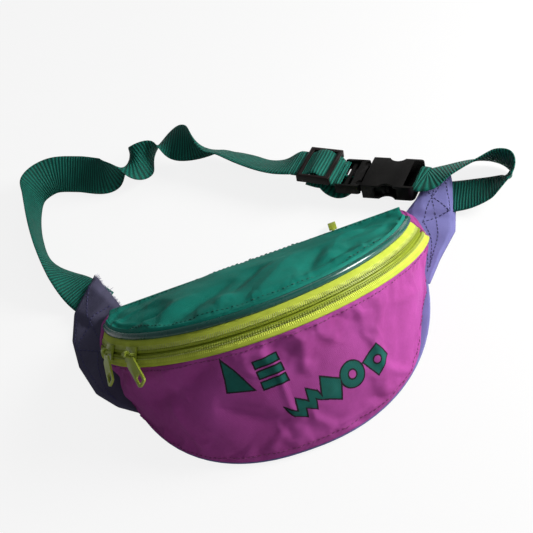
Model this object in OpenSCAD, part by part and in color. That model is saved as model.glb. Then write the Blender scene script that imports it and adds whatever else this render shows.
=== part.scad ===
// Child's waist pack, lying on its back on a table, with a webbing belt.
// Millimetres. X runs along the zip, +Z is out of the pouch's front, -Y is the pouch's bottom.

/* [Pouch] */
// radius of the curved zip
zip_radius = 104; // [90:1:120]
// tilt of the plane of the curved zip
zip_tilt = 35; // [25:1:45]
// lean of the zip band away from the arc's radius
band_lean = 30; // [15:1:45]
// distance of the zip arc's centre behind the pouch's middle
zip_centre_y = 53.5; // [45:0.5:60]
// height of the zip arc's centre
zip_centre_z = 4; // [2:0.5:12]
// end of the curved zip, degrees from its middle
zip_end = 80; // [76:1:84]
// half width of the back panel
back_half_width = 98; // [90:1:110]
// reach of the back panel below its widest line
back_depth = 115; // [100:1:130]
// line where the back panel is widest
back_centre_y = 40; // [30:1:50]
// squareness of the back panel's curve
back_power = 2.3; // [2:0.1:3]
// line of the ridge where lid and back meet
ridge_y = 64; // [60:1:70]
// height of the ridge
ridge_z = 12.4; // [10:0.2:18]
// swell of the front panel
front_swell = 4; // [2:0.5:9]
// swell of the lid panel
lid_swell = 3; // [0:0.5:6]
// half width of the lid that lifts
lid_half = 68; // [60:1:74]

/* [Cloth] */
// thickness of the coated cloth shells
cloth = 1.2; // [0.8:0.1:2]
// thickness of the padded back panel
back_thick = 1.6; // [1:0.1:3]
// gap left round cloth that moves
soft_gap = 0.4; // [0.3:0.1:1]
// thickness of a wing
wing_thick = 1.6; // [1.2:0.1:1.6]

/* [Zip] */
// width of the upper zip tape
upper_tape_width = 5.8; // [4:0.1:8]
// width of the lower zip tape
lower_tape_width = 4; // [3:0.1:6]
// thickness of the tapes
tape_thick = 0.8; // [0.6:0.1:1.2]
// width of one row of teeth
tooth_width = 1.8; // [1.4:0.1:2.4]
// thickness of the rows of teeth
tooth_thick = 2.6; // [2:0.1:3]
// gap between the two rows
tooth_gap = 1.4; // [1:0.1:1.8]
// radius of the piping
piping_radius = 2.1; // [1.5:0.1:3]
// place of the left slider, degrees from the middle
slider_left_at = -63; // [-66:1:-60]
// place of the right slider, degrees from the middle
slider_right_at = -48; // [-50:1:-46]
// length of a slider
slider_length = 10; // [8:0.5:12]
// width of a slider
slider_width = 9; // [8:0.5:11]
// thickness of a slider's plates
slider_plate = 1.2; // [1:0.1:1.6]
// clearance of the slider on the teeth
slider_gap = 0.4; // [0.3:0.1:0.6]
// length of a pull
pull_length = 25; // [18:0.5:28]
// width of a pull
pull_width = 7; // [5:0.5:8]
// sideways lean of a hanging pull
pull_lean = 48; // [30:1:50]
// place of the rear slider along the ridge
rear_slider_x = 53; // [-50:1:60]

/* [Belt] */
// width of the webbing
web = 25; // [20:1:30]
// thickness of the webbing
web_thick = 1.4; // [1:0.1:2]

/* [Buckle] */
// width of the buckle
buckle_width = 30; // [28:0.5:34]
// thickness of the buckle
buckle_thick = 10; // [8:0.5:12]
// length of the socket half
socket_length = 34; // [30:0.5:38]
// length of the plug's base
plug_length = 19; // [16:0.5:22]
// length of the plug's prongs
prong_length = 24; // [20:0.5:26]
// turn of the buckle on the table
buckle_turn = -31; // [-40:0.5:-25]
// roll of the buckle about its length, near edge up
buckle_roll = -12; // [-20:1:0]
// place of the buckle's mouth, along X
buckle_x = 84.6; // [80:0.5:90]
// place of the buckle's mouth, along Y
buckle_y = 98.5; // [96:0.5:112]
// height of the buckle's underside
buckle_z = 5; // [4.6:0.2:8]
// length of the adjuster
glide_length = 22; // [20:0.5:26]
// width of the adjuster
glide_width = 31; // [30:0.5:36]
// pitch of the adjuster, its free end up
glide_pitch = 4; // [0:1:10]
// height of the adjuster above the plug's bar
glide_lift = 5.3; // [4:0.1:7]

/* [Hidden] */
$fn = 48;
zc = [0, zip_centre_y, zip_centre_z];
tooth_in = tooth_gap / 2;
tooth_out = tooth_in + tooth_width;
tape_top = tooth_out + upper_tape_width;
tape_low = -(tooth_out + lower_tape_width);
piping_v = tape_top + piping_radius;
lid_v = piping_v + piping_radius + 1;
front_v = tape_low - 0.5;
front_end = 84;
ring_steps = 44;
// the rear wall and the end tabs stop short of the ends of the zip
wall_half = min(back_half_width - 5, zip_radius - 11);
buckle_mid = buckle_thick / 2;
glide_back = 2;
flat_z = wing_thick + web_thick / 2;
tail_x = -plug_length + 4;
tail_start = -16;
bar_z = buckle_mid + 1.9;
glide_x = -plug_length - glide_back - glide_length / 2;

function clamp(a, lo, hi) = max(lo, min(hi, a));
// band coordinates: m is out of the band, v is across it towards the lid
function pv(m, v) = [
  zip_radius + m * cos(band_lean) - v * sin(band_lean),
  m * sin(band_lean) + v * cos(band_lean)
];
// a point of the arc frame in the pouch's own axes
function arc_pt(q, a) = zc + [
  q[0] * sin(a),
  -q[0] * cos(a) * cos(zip_tilt) + q[1] * sin(zip_tilt),
  q[0] * cos(a) * sin(zip_tilt) + q[1] * cos(zip_tilt)
];
function back_pt(a) = [
  back_half_width * sign(sin(a)) * pow(abs(sin(a)), 2 / back_power),
  back_centre_y - back_depth * pow(abs(cos(a)), 2 / back_power)
];
function unit(p) = p / norm(p);

module arc_frame(a = 0) {
  translate(zc) rotate([-zip_tilt, 0, 0]) rotate([0, 0, a - 90]) children();
}

module arc_band(m0, m1, v0, v1, a0, a1) {
  arc_frame(a0)
    rotate_extrude(angle = a1 - a0)
      polygon([pv(m0, v0), pv(m1, v0), pv(m1, v1), pv(m0, v1)]);
}

module arc_tube(m, v, r, a0, a1) {
  arc_frame(a0)
    rotate_extrude(angle = a1 - a0)
      translate(pv(m, v)) circle(r, $fn = 20);
}

// frame on the band at angle a: X is out of the band, Y is along the zip, Z is towards the lid
module band_frame(a) {
  arc_frame(a) translate([zip_radius, 0, 0]) rotate([0, -band_lean, 0]) children();
}

// closed solid between two grids of points with the same rows and columns
module grid_shell(top, low) {
  n = len(top);
  m = len(top[0]);
  pts = concat([for (r = top) for (p = r) p], [for (r = low) for (p = r) p]);
  k = n * m;
  faces = concat(
    [for (i = [0 : n - 2]) for (j = [0 : m - 2]) [i * m + j, i * m + j + 1, (i + 1) * m + j]],
    [for (i = [0 : n - 2]) for (j = [0 : m - 2]) [i * m + j + 1, (i + 1) * m + j + 1, (i + 1) * m + j]],
    [for (i = [0 : n - 2]) for (j = [0 : m - 2]) [k + i * m + j, k + (i + 1) * m + j, k + i * m + j + 1]],
    [for (i = [0 : n - 2]) for (j = [0 : m - 2])
      [k + i * m + j + 1, k + (i + 1) * m + j, k + (i + 1) * m + j + 1]],
    [for (i = [0 : n - 2]) [i * m, (i + 1) * m, k + i * m]],
    [for (i = [0 : n - 2]) [(i + 1) * m, k + (i + 1) * m, k + i * m]],
    [for (i = [0 : n - 2]) [i * m + m - 1, k + i * m + m - 1, (i + 1) * m + m - 1]],
    [for (i = [0 : n - 2]) [(i + 1) * m + m - 1, k + i * m + m - 1, k + (i + 1) * m + m - 1]],
    [for (j = [0 : m - 2]) [j, k + j, j + 1]],
    [for (j = [0 : m - 2]) [j + 1, k + j, k + j + 1]],
    [for (j = [0 : m - 2]) [(n - 1) * m + j, (n - 1) * m + j + 1, k + (n - 1) * m + j]],
    [for (j = [0 : m - 2]) [(n - 1) * m + j + 1, k + (n - 1) * m + j + 1, k + (n - 1) * m + j]]
  );
  polyhedron(points = pts, faces = faces);
}

// smooth curve through route points [x, y, z, turn]
function spline(p, i, t) =
  let (a = p[max(i - 1, 0)], b = p[i], c = p[i + 1], d = p[min(i + 2, len(p) - 1)])
  0.5 * ((2 * b) + (c - a) * t + (2 * a - 5 * b + 4 * c - d) * t * t
    + (3 * b - a - 3 * c + d) * t * t * t);
function route(p, per) = concat(
  [for (i = [0 : len(p) - 2]) for (s = [0 : per - 1]) spline(p, i, s / per)],
  [p[len(p) - 1]]
);

// flat webbing along a route: turn 0 lies flat, turn 90 stands on edge
// from and to pick a stretch of the route, so that two stretches meet face to face
module ribbon(p, per, from, to, w = web, t = web_thick) {
  all = route(p, per);
  first = from * per;
  n = (to - from) * per + 1;
  q = [for (i = [0 : n - 1]) all[first + i]];
  function spot(i) = [all[i][0], all[i][1], all[i][2]];
  function at(i) = spot(first + i);
  function along(i) = unit(spot(min(first + i + 1, len(all) - 1)) - spot(max(first + i - 1, 0)));
  function side0(i) = unit(cross([0, 0, 1], along(i)));
  function side(i) = side0(i) * cos(q[i][3]) + cross(along(i), side0(i)) * sin(q[i][3]);
  function out(i) = cross(along(i), side(i));
  pts = [for (i = [0 : n - 1]) for (c = [[-1, -1], [1, -1], [1, 1], [-1, 1]])
    at(i) + side(i) * c[0] * w / 2 + out(i) * c[1] * t / 2];
  faces = concat(
    [[0, 1, 2], [0, 2, 3]],
    [for (i = [0 : n - 2]) for (c = [0 : 3]) [4 * i + c, 4 * (i + 1) + c, 4 * i + (c + 1) % 4]],
    [for (i = [0 : n - 2]) for (c = [0 : 3])
      [4 * i + (c + 1) % 4, 4 * (i + 1) + c, 4 * (i + 1) + (c + 1) % 4]],
    [[4 * n - 4, 4 * n - 2, 4 * n - 3], [4 * n - 4, 4 * n - 1, 4 * n - 2]]
  );
  polyhedron(points = pts, faces = faces);
}

// ---- pouch ----

module back_outline(grow = 0) {
  offset(delta = grow)
    polygon(concat(
      [for (i = [-20 : 20]) back_pt(i * 4.5)],
      [[back_half_width, ridge_y - 6], [back_half_width - 5, ridge_y], [5 - back_half_width, ridge_y],
        [-back_half_width, ridge_y - 6]]
    ));
}

module back_panel() {
  color("#3a3a40") linear_extrude(back_thick) back_outline();
}

// rear pocket's inner wall, stitched to the back panel round its edge
module rear_pocket_lining() {
  color("#39464a") translate([0, 0, back_thick + 1.4]) linear_extrude(0.6) back_outline(-6.2);
  color("#39464a") translate([0, 0, back_thick])
    linear_extrude(1.4) difference() {
      intersection() {
        back_outline(-6.2);
        translate([-150, -150]) square([300, 150 + ridge_y - 14]);
      }
      back_outline(-7.4);
    }
}

function front_edge(a) = arc_pt(pv(0, front_v), a);
function front_pt(a, t) =
  let (u = front_edge(a), b = back_pt(a), w = [b[0], b[1], back_thick],
    mid = u * (1 - t) + w * t, c = [0, back_centre_y - 20, 8], n = unit(mid - c))
  mid + n * front_swell * sin(180 * t) * sin(90 * t) * cos(a * 0.8);
function front_in(a, t) =
  let (p = front_pt(a, t), c = [0, back_centre_y - 20, 8], n = unit(p - c),
    q = p - n * cloth)
  [q[0], q[1], max(q[2], back_thick)];

module front_panel() {
  a0 = front_end;
  top = [for (i = [0 : 12]) [for (j = [0 : ring_steps]) front_pt(-a0 + 2 * a0 * j / ring_steps, i / 12)]];
  low = [for (i = [0 : 12]) [for (j = [0 : ring_steps]) front_in(-a0 + 2 * a0 * j / ring_steps, i / 12)]];
  color("#a23c9a") grid_shell(top, low);
}

// lid surface by columns of constant x, so the lid can lift past its fixed corners
function lid_angle(x) = asin(clamp(x / pv(0, lid_v)[0], -1, 1));
function lid_pt(x, t) =
  let (f = arc_pt(pv(0, lid_v), lid_angle(x)), r = [x, ridge_y, ridge_z], s = lid_swell * sin(180 * t))
  f * (1 - t) + r * t + [0, 0.54, 0.84] * s * clamp((97 - abs(x)) / 30, 0, 1);
module lid_sheet(x0, x1, cols) {
  drop = [0, 0.5, 0.86] * cloth;
  top = [for (i = [0 : 8]) [for (j = [0 : cols]) lid_pt(x0 + (x1 - x0) * j / cols, i / 8)]];
  low = [for (r = top) [for (p = r) p - drop]];
  grid_shell(low, top);
}

module top_panel() {
  color("#1f8f78") lid_sheet(-lid_half, lid_half, 32);
}

module top_corner_left() {
  color("#1f8f78") lid_sheet(-96.5, -lid_half - soft_gap, 6);
}

module top_corner_right() {
  color("#1f8f78") lid_sheet(lid_half + soft_gap, 96.5, 6);
}

// strip behind the ridge that carries the rear pocket's zip
module rear_wall() {
  top = ridge_z - cloth - 0.6;
  color("#1f8f78") difference() {
    translate([-wall_half, ridge_y - cloth, back_thick])
      cube([2 * wall_half, cloth, top - back_thick]);
    translate([-66, ridge_y - 5, 5]) cube([132, 10, 2.2]);
  }
}

// bands cut square across X, so the lid's part lifts past the fixed ends
module lid_part() {
  intersection() {
    children();
    translate([-lid_half, -100, -20]) cube([2 * lid_half, 200, 150]);
  }
}

module end_part(side) {
  intersection() {
    children();
    translate([side > 0 ? lid_half + soft_gap : -130, -100, -20])
      cube([130 - lid_half - soft_gap, 200, 150]);
  }
}

module upper_tape_band() {
  arc_band(-tape_thick / 2, tape_thick / 2, tooth_out, tape_top, -zip_end, zip_end);
}

module upper_teeth_band() {
  arc_band(-tooth_thick / 2, tooth_thick / 2, tooth_in, tooth_out, -zip_end, zip_end);
}

module piping_band() {
  arc_tube(0, piping_v, piping_radius, -zip_end, zip_end);
}

module lower_tape() {
  color("#b9d437") arc_band(-tape_thick / 2, tape_thick / 2, tape_low, -tooth_out, -zip_end, zip_end);
}

module lower_teeth() {
  color("#93ac22") arc_band(-tooth_thick / 2, tooth_thick / 2, -tooth_out, -tooth_in, -zip_end, zip_end);
}

module upper_tape() { color("#b9d437") lid_part() upper_tape_band(); }

module upper_teeth() { color("#93ac22") lid_part() upper_teeth_band(); }

module piping() { color("#12806a") lid_part() piping_band(); }

module upper_tape_left() { color("#b9d437") end_part(-1) upper_tape_band(); }

module upper_tape_right() { color("#b9d437") end_part(1) upper_tape_band(); }

module upper_teeth_left() { color("#93ac22") end_part(-1) upper_teeth_band(); }

module upper_teeth_right() { color("#93ac22") end_part(1) upper_teeth_band(); }

module piping_left() { color("#12806a") end_part(-1) piping_band(); }

module piping_right() { color("#12806a") end_part(1) piping_band(); }

module end_tab(side) {
  scale([side, 1, 1]) hull() {
    arc_band(-2, 1.2, -5, 8, zip_end + 0.1, zip_end + 1.4);
    translate([wall_half + 0.2, ridge_y - 3, 3.2]) cube([5, 3, 7]);
  }
}

module end_tab_left() { color("#8d3590") end_tab(-1); }

module end_tab_right() { color("#8d3590") end_tab(1); }

// ---- sliders and pulls ----

bail_lift = 2.6;
plate_m = tooth_thick / 2 + slider_gap;
bail_m = plate_m + slider_plate + bail_lift;

module slider_body() {
  l = slider_length;
  w = slider_width;
  for (s = [-1, 1])
    translate([s > 0 ? plate_m : -plate_m - slider_plate, -l / 2, -w / 2]) cube([slider_plate, l, w]);
  // post between the rows of teeth
  translate([-plate_m - 0.1, -l / 2, -0.35]) cube([2 * plate_m + 0.2, 3, 0.7]);
  // side flanges stop short of the tape
  for (s = [-1, 1]) for (f = [-1, 1])
    translate([f > 0 ? tape_thick / 2 + slider_gap : -plate_m - 0.1, -l / 2 + 1, s > 0 ? w / 2 - 0.9 : -w / 2])
      cube([plate_m + 0.1 - tape_thick / 2 - slider_gap, l - 2, 0.9]);
}

// arch over the top plate that holds the pull's eye
module slider_bail() {
  for (s = [-1, 1])
    translate([plate_m + slider_plate, s > 0 ? 3.2 : -4.4, -0.8]) cube([bail_lift + 0.6, 1.2, 1.6]);
  translate([bail_m, -4.4, 0]) rotate([-90, 0, 0]) cylinder(r = 0.6, h = 8.8);
}

// the eye rides on the bail and the plate hangs across the lower tape
module pull_body(len = pull_length, lean = pull_lean) {
  difference() {
    union() {
      rotate([-90, 0, 0]) translate([0, 0, -1]) cylinder(r = 2.1, h = 2);
      rotate([lean, 0, 0]) {
        translate([-0.6, -1, -5]) cube([1.3, 2, 3.6]);
        translate([-0.6, 0, -len / 2 - 2.5]) rotate([0, 90, 0])
          linear_extrude(1.3) difference() {
            offset(r = 2) square([len - 9, pull_width - 4], center = true);
            translate([len / 2 - 7, 0]) offset(r = 1) square([4, pull_width - 5], center = true);
          }
      }
    }
    rotate([-90, 0, 0]) translate([0, 0, -2]) cylinder(r = 0.75, h = 4);
  }
}

module slider_left() {
  color("#c3d62e") band_frame(slider_left_at) {
    slider_body();
    slider_bail();
  }
}

module slider_right() {
  color("#c3d62e") band_frame(slider_right_at) {
    slider_body();
    slider_bail();
  }
}

module pull_left() {
  color("#ccdf3a") band_frame(slider_left_at) translate([bail_m, 0, 0]) pull_body();
}

module pull_right() {
  color("#ccdf3a") band_frame(slider_right_at) translate([bail_m, 0, 0]) pull_body();
}

module rear_zip() {
  color("#b9d437") difference() {
    translate([-70, ridge_y, 3.4]) cube([140, 0.8, 5.4]);
    translate([-67, ridge_y - 1, 5]) cube([134, 3, 2.2]);
  }
}

module slider_rear() {
  color("#c3d62e") translate([rear_slider_x, ridge_y, 6.1]) {
    translate([-4, 1.2, -3.4]) cube([8, 1.2, 6.8]);
    translate([-4, -2.8, -3.4]) cube([8, 1.2, 6.8]);
    translate([-3.6, -1.8, -0.6]) cube([2.4, 3.2, 1.2]);
    for (s = [-1, 1]) translate([s > 0 ? 2 : -3.2, 2.3, -0.7]) cube([1.2, 2.6, 1.4]);
    translate([-3.2, 4.4, 0]) rotate([0, 90, 0]) cylinder(r = 0.6, h = 6.4);
  }
}

module pull_rear() {
  color("#ccdf3a") translate([rear_slider_x, ridge_y + 4.4, 6.1]) difference() {
    union() {
      translate([-1, 0, 0]) rotate([0, 90, 0]) cylinder(r = 1.9, h = 2);
      rotate([-108, 0, 0]) {
        translate([-1, -0.6, 1.2]) cube([2, 1.2, 4]);
        translate([-2.5, -0.6, 4]) cube([5, 1.2, 8]);
      }
    }
    translate([-2, 0, 0]) rotate([0, 90, 0]) cylinder(r = 0.75, h = 4);
  }
}

// ---- wings ----

module wing_left() {
  color("#7f7fc8") linear_extrude(wing_thick) difference() {
    polygon([[-88, -4], [-102, -2], [-124, 38], [-124, 78], [-104, 106], [-90, 70], [-88, 40]]);
    back_outline();
  }
}

module wing_right() {
  color("#8b8bd6") linear_extrude(wing_thick) difference() {
    polygon([[90, 14], [105, 16], [125, 38], [129, 60], [134, 86], [119, 82], [90, 70]]);
    back_outline();
  }
}

// ---- belt ----

// point of the buckle's own axes in the pouch's axes
function turned(p) =
  let (y = p[1] * cos(buckle_roll) - p[2] * sin(buckle_roll),
    z = p[1] * sin(buckle_roll) + p[2] * cos(buckle_roll))
  [
    buckle_x + p[0] * cos(buckle_turn) - y * sin(buckle_turn),
    buckle_y + p[0] * sin(buckle_turn) + y * cos(buckle_turn),
    buckle_z + z,
    p[3]
  ];
// point of the webbing's line through the adjuster, x along the belt
function glide_pt(x) = turned([
  glide_x + x * cos(glide_pitch), 0, bar_z + glide_lift - x * sin(glide_pitch), 540 + buckle_roll
]);

belt_path = [
  [-104, 80, flat_z, 0],
  [-113, 93, flat_z + 1.8, 4],
  [-124, 110, 10, 46],
  [-133, 130, 13.5, 80],
  [-137, 155, 13.5, 88],
  [-137, 180, 13.5, 82],
  [-134, 196, 13, 66],
  [-120, 202, 12.5, 46],
  [-102, 196, 11, 38],
  [-84, 184, 12, 58],
  [-70, 183, 13.5, 132],
  [-58, 183, 13.5, 222],
  [-43, 192, 13.5, 312],
  [-26, 187, 13.5, 402],
  [-9, 171, 13.5, 486],
  [2, 161.5, 13.5, 496],
  [12, 152, 12.5, 503],
  [22, 142, 12, 505],
  [33, 132.5, 14.5, 514],
  glide_pt(tail_start - soft_gap),
  glide_pt(-8)
];

module belt_long() {
  color("#1d8c74") ribbon(belt_path, 4, 0, 14);
}

// loose stretch that crumples when the plug is drawn out
module belt_flex() {
  color("#1d8c74") ribbon(belt_path, 4, 14, 19);
}

// straight end that passes the adjuster and lies over the plug's bar
module belt_tail() {
  color("#1d8c74") ribbon([
    glide_pt(tail_start),
    glide_pt(0),
    glide_pt(glide_length / 2 - 3),
    turned([-plug_length + 0.2, 0, bar_z, 540 + buckle_roll]),
    turned([tail_x, 0, bar_z, 540 + buckle_roll])
  ], 1, 0, 4);
}

// short loop from the socket round to the right wing
module belt_short() {
  color("#1d8c74") ribbon([
    turned([socket_length - 4.5, 0, buckle_mid + 1.2, buckle_roll]),
    turned([socket_length, 0, buckle_mid + 1.2, buckle_roll]),
    turned([socket_length + 6, 0, buckle_mid + 1.5, buckle_roll - 3]),
    [131, 80, 12, -30],
    [148, 79.5, 13, -44],
    [162.5, 75, 13.6, -68],
    [169, 66, 13.4, -94],
    [164, 59, 12, -130],
    [153, 58.5, 7.6, -160],
    [141.5, 61.5, 4.6, -175],
    [131, 65.5, flat_z + 0.6, -180],
    [121, 69, flat_z + 0.3, -180],
    [113, 72, flat_z + 0.2, -180]
  ], 4, 0, 12);
}

// ---- buckle ----

module on_buckle() {
  translate([buckle_x, buckle_y, buckle_z]) rotate([buckle_roll, 0, buckle_turn]) children();
}

module buckle_socket() {
  w = buckle_width;
  h = buckle_thick;
  l = socket_length;
  color("#222222") on_buckle() difference() {
    linear_extrude(h) difference() {
      union() {
        translate([3, 0]) offset(r = 3) translate([0, -w / 2 + 3]) square([l - 6, w - 6]);
        translate([0, -w / 2]) square([6, w]);
      }
      for (s = [-1, 1]) translate([16, s * (w / 2 + 3)]) circle(6);
    }
    // channel for the plug
    translate([-1, -w / 2 + 2, 1.5]) cube([l - 7, w - 4, h - 3]);
    // side windows where the prongs show
    for (s = [-1, 1]) translate([8, s > 0 ? w / 2 - 4 : -w / 2 - 2, 1.5]) cube([15, 6, h - 3]);
    // slot and low bar for the webbing
    translate([l - 6.5, -w / 2 + 2, -1]) cube([3.5, w - 4, h + 2]);
    translate([l - 4, -w / 2 + 2, buckle_mid + 1.2 - web_thick / 2]) cube([6, w - 4, h]);
  }
}

module buckle_plug() {
  w = buckle_width - 2;
  h = buckle_thick;
  l = plug_length;
  color("#262626") on_buckle() {
    difference() {
      union() {
        translate([-l, 0, 1.8]) linear_extrude(h - 3.6)
          translate([2, -w / 2 + 2]) offset(r = 2) square([l - 6, w - 4]);
        // middle tongue
        translate([-3, -1.6, 3]) cube([prong_length - 2, 3.2, h - 6]);
      }
      // two webbing slots with a bar between
      translate([-l + 2.2, -w / 2 + 2.5, 0]) cube([3.4, w - 5, h]);
      translate([-l + 8, -w / 2 + 2.5, 0]) cube([3, w - 5, h]);
      // the bars sit low under the webbing
      translate([-l - 1, -w / 2 + 1.5, bar_z - web_thick / 2]) cube([12, w - 3, h]);
      for (s = [-1, 1]) translate([-3, s * 10, 0]) cylinder(r = 2.1, h = h);
      for (s = [-1, 1]) translate([-3, s * 10 - 2.1, 0]) cube([6, 4.2, h]);
    }
  }
}

// one springy prong, turning on its root
module prong(s) {
  on_buckle() {
    translate([-3, s * 10, 2.4]) cylinder(r = 1.9, h = buckle_thick - 4.8);
    translate([-3, s > 0 ? 8.6 : -11.4, 2.4]) cube([prong_length - 4, 2.8, buckle_thick - 4.8]);
    translate([9, s * 10.3, 2.4]) linear_extrude(buckle_thick - 4.8)
      offset(r = 1) square([10, 2.2], center = true);
  }
}

module prong_left() { color("#262626") prong(1); }

module prong_right() { color("#262626") prong(-1); }

// three-bar adjuster: outer bars above the webbing, middle bar below it
module tri_glide() {
  w = glide_width;
  l = glide_length;
  color("#2a2624") on_buckle() translate([glide_x, 0, bar_z + glide_lift]) rotate([0, glide_pitch, 0]) {
    for (s = [-1, 1]) translate([0, s * (w / 2 - 1.3), -0.2]) cube([l, 2.6, 5.2], center = true);
    for (s = [-1, 1]) translate([s * (l / 2 - 1.5), 0, 1.7]) cube([3, w - 1, 1.4], center = true);
    translate([0, 0, -1.8]) cube([4, w - 1, 1.6], center = true);
  }
}

back_panel();
rear_pocket_lining();
front_panel();
top_panel();
top_corner_left();
top_corner_right();
rear_wall();
lower_tape();
lower_teeth();
upper_tape();
upper_teeth();
piping();
upper_tape_left();
upper_tape_right();
upper_teeth_left();
upper_teeth_right();
piping_left();
piping_right();
end_tab_left();
end_tab_right();
slider_left();
slider_right();
pull_left();
pull_right();
rear_zip();
slider_rear();
pull_rear();
wing_left();
wing_right();
belt_long();
belt_flex();
belt_tail();
belt_short();
buckle_socket();
buckle_plug();
prong_left();
prong_right();
tri_glide();
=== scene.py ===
# %% [markdown]
# # A waist pack, lying on its back
# This lesson builds the looks of a small half-moon waist pack over a fixed frame of bodies and joints.
# All sizes below are typed in millimetres and turned to metres where a mesh is made. X runs along the
# zip, +Z points out of the front of the pouch, and -Y is the bottom of the pouch.

# %% Load the frame
import math
import bpy
import numpy as np
from mathutils import Matrix, Vector


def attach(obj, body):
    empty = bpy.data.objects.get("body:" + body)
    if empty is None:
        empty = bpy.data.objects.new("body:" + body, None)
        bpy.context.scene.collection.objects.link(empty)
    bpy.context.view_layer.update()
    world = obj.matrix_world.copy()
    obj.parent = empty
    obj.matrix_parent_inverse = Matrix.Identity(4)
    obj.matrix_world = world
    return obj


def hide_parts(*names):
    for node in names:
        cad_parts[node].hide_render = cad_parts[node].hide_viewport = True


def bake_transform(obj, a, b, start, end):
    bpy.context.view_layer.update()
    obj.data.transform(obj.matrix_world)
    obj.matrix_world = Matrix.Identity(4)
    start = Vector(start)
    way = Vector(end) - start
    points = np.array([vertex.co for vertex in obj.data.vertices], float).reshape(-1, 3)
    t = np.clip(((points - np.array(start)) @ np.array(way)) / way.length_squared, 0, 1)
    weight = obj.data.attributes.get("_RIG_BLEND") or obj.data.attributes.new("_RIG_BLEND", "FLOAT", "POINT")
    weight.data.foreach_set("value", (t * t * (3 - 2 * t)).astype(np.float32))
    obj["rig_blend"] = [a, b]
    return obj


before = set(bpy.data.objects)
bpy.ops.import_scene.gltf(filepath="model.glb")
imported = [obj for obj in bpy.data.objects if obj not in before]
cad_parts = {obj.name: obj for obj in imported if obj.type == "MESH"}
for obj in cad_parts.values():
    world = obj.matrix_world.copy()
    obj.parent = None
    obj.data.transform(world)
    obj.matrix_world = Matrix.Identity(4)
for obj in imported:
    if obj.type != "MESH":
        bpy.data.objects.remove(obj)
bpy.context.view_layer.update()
bpy.ops.object.select_all(action="DESELECT")
scene = bpy.context.scene

# %% [markdown]
# ## Camera, floor and light
# The camera looks down at 48 degrees and is rolled, because the pack lies askew in the picture.
# A long lens keeps the belt and the pouch in true proportion. Soft light comes from the right.

# %% Camera
MM = 0.001
def camera_axes(azimuth, elevation, roll):
    a, e, r = (math.radians(v) for v in (azimuth, elevation, roll))
    back = Vector((math.sin(a) * math.cos(e), -math.cos(a) * math.cos(e), math.sin(e)))
    right = Vector((math.cos(a), math.sin(a), 0))
    up = back.cross(right)
    return right * math.cos(r) + up * math.sin(r), up * math.cos(r) - right * math.sin(r), back

side, top, back = camera_axes(6.18, 48, -24.23)
camera = bpy.data.objects.new("camera", bpy.data.cameras.new("camera"))
camera.data.lens = 88.8
camera.data.sensor_width = 36
camera.data.clip_start = 0.05
turn = Matrix((side, top, back)).transposed().to_4x4()
camera.matrix_world = Matrix.Translation(Vector((7.58, 47.9, 20)) * MM + back * 0.8) @ turn
scene.collection.objects.link(camera)
scene.camera = camera
scene.view_settings.view_transform = "Standard"
print("camera stands at", [round(v, 3) for v in camera.location])

# %% Lights and world
def lamp(name, at, size, watts, colour=(1, 1, 1)):
    light = bpy.data.lights.new(name, "AREA")
    light.shape = "DISK"
    light.size = size
    light.energy = watts
    light.color = colour
    stand = bpy.data.objects.new(name, light)
    stand.location = at
    stand.rotation_euler = (Vector((0, 0.05, 0)) - Vector(at)).to_track_quat("-Z", "Y").to_euler()
    scene.collection.objects.link(stand)

lamp("window_light", (0.6, 0.0, 0.33), 0.3, 5.9, (1, 0.985, 0.96))
lamp("front_fill", (0.4, -0.9, 0.8), 0.9, 1.0, (0.97, 0.98, 1))
lamp("back_light", (0.3, 0.9, 0.8), 0.6, 1.0)
world = bpy.data.worlds.new("room")
scene.world = world
world.use_nodes = True
room = world.node_tree
sky = room.nodes["Background"]
seen = room.nodes.new("ShaderNodeLightPath")
pale = room.nodes.new("ShaderNodeMix")
pale.data_type = "RGBA"
pale.inputs[6].default_value = (0.16, 0.163, 0.172, 1)
pale.inputs[7].default_value = (1, 1, 1, 1)
room.links.new(seen.outputs["Is Camera Ray"], pale.inputs[0])
room.links.new(pale.outputs[2], sky.inputs["Color"])

# %% Floor
bpy.ops.mesh.primitive_plane_add(size=6, location=(0, 0, -0.0003))
floor = bpy.context.object
floor.name = "floor"
floor_paint = bpy.data.materials.new("floor_paint")
floor_paint.use_nodes = True
tree = floor_paint.node_tree
tree.nodes.clear()
matt = tree.nodes.new("ShaderNodeBsdfDiffuse")
matt.inputs["Color"].default_value = (0.86, 0.86, 0.86, 1)
glow = tree.nodes.new("ShaderNodeEmission")
glow.inputs["Color"].default_value = (1, 1, 1, 1)
path = tree.nodes.new("ShaderNodeLightPath")
share = tree.nodes.new("ShaderNodeMath")
share.operation = "MULTIPLY"
share.inputs[1].default_value = 0.85
blend = tree.nodes.new("ShaderNodeMixShader")
end = tree.nodes.new("ShaderNodeOutputMaterial")
tree.links.new(path.outputs["Is Camera Ray"], share.inputs[0])
tree.links.new(share.outputs[0], blend.inputs[0])
tree.links.new(matt.outputs[0], blend.inputs[1])
tree.links.new(glow.outputs[0], blend.inputs[2])
tree.links.new(blend.outputs[0], end.inputs[0])
floor.data.materials.append(floor_paint)
floor.select_set(False)
print("floor and lamps are in place")

# %% [markdown]
# ## Shader arithmetic
# A weave is arithmetic on the cloth's own millimetres. `Value` lets a shader socket be added,
# multiplied and compared as a plain number, and `Finish` adds every other node in one method.

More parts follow.
